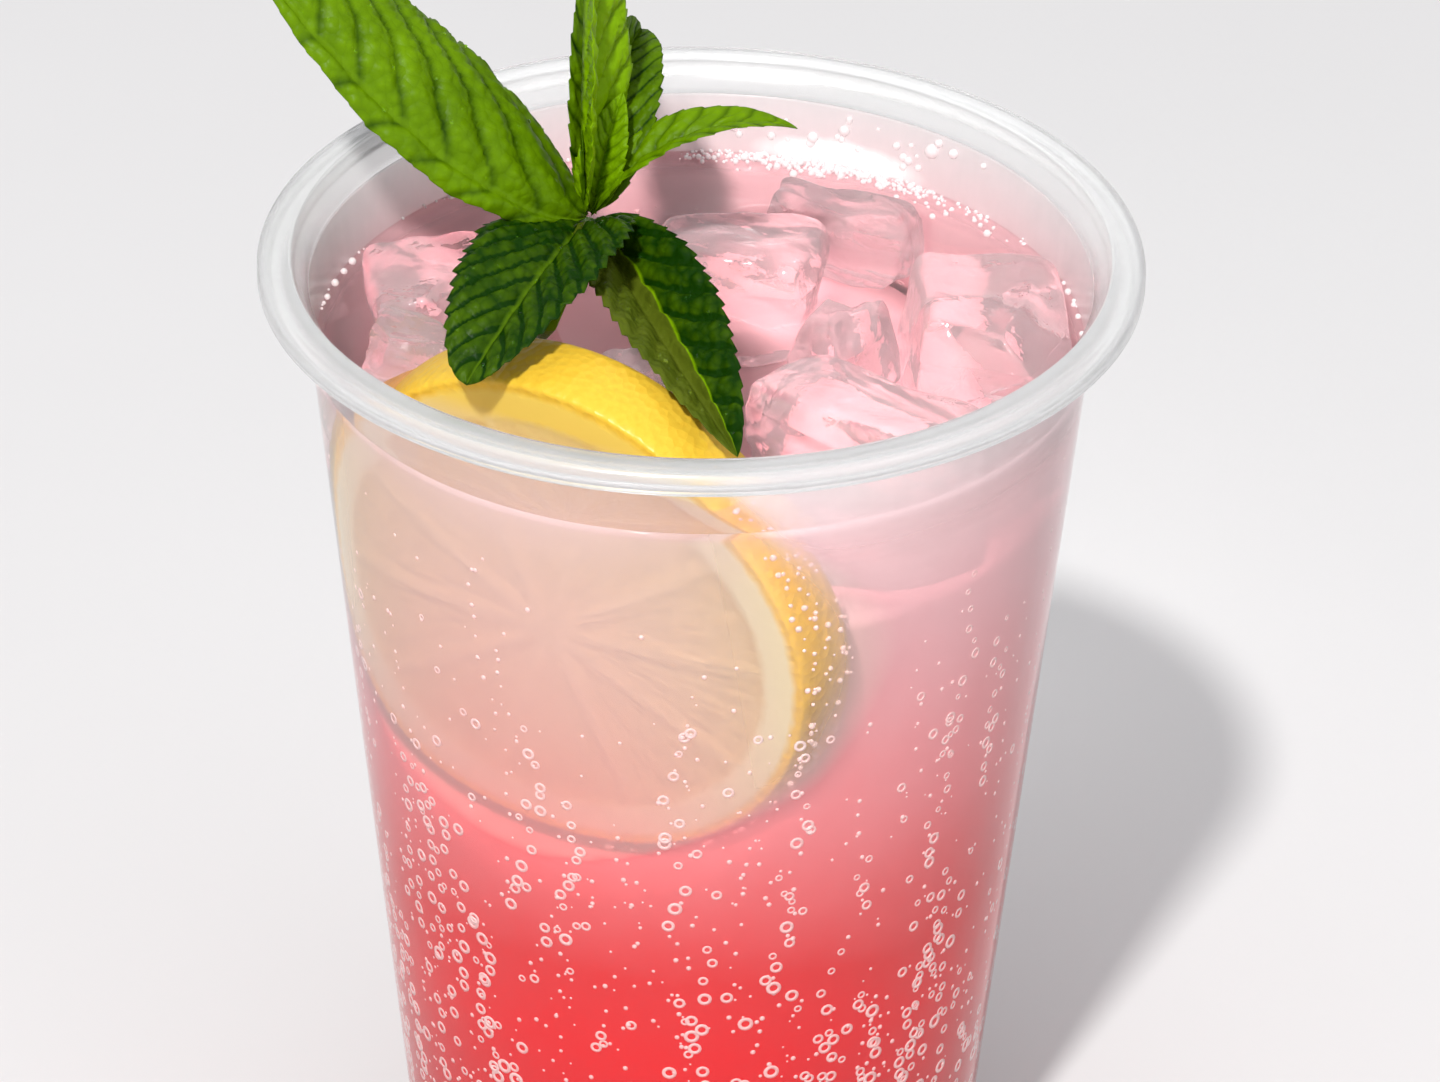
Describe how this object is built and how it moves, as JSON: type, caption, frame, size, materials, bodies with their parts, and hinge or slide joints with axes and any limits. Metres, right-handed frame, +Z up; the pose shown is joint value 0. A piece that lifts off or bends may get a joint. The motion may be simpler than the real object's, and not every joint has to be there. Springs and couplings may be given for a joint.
{
  "type": "iced fruit drink in a clear cup",
  "caption": "Clear tapered cup with a rolled rim, filled with a pink to red sparkling drink, ice, a lemon wheel against the wall and a sprig of mint.",
  "frame": {"origin": "middle of the ring that the cup stands on, at the height of the surface under it", "axes": "+Z up along the cup's axis, -Y towards the side the lemon wheel faces, +X to the right seen from there"},
  "size_m": [0.0989, 0.098, 0.1631],
  "materials": {
    "clear_cup": "clear, smooth and glossy",
    "drink": "clear liquid, pale pink at the top and red at the bottom",
    "lemon": "wet, slightly glossy",
    "mint": "satin leaf",
    "ice": "wet, clear"
  },
  "bodies": {
    "root": {"cup": "clear_cup", "drink": "drink", "lemon_slice": "lemon", "mint_sprig": "mint", "ice_left": "ice", "ice_left_front": "ice", "ice_middle": "ice", "ice_middle_front": "ice", "ice_inner_right": "ice", "ice_right": "ice", "ice_front_right": "ice", "ice_back": "ice"}
  },
  "joints": []
}
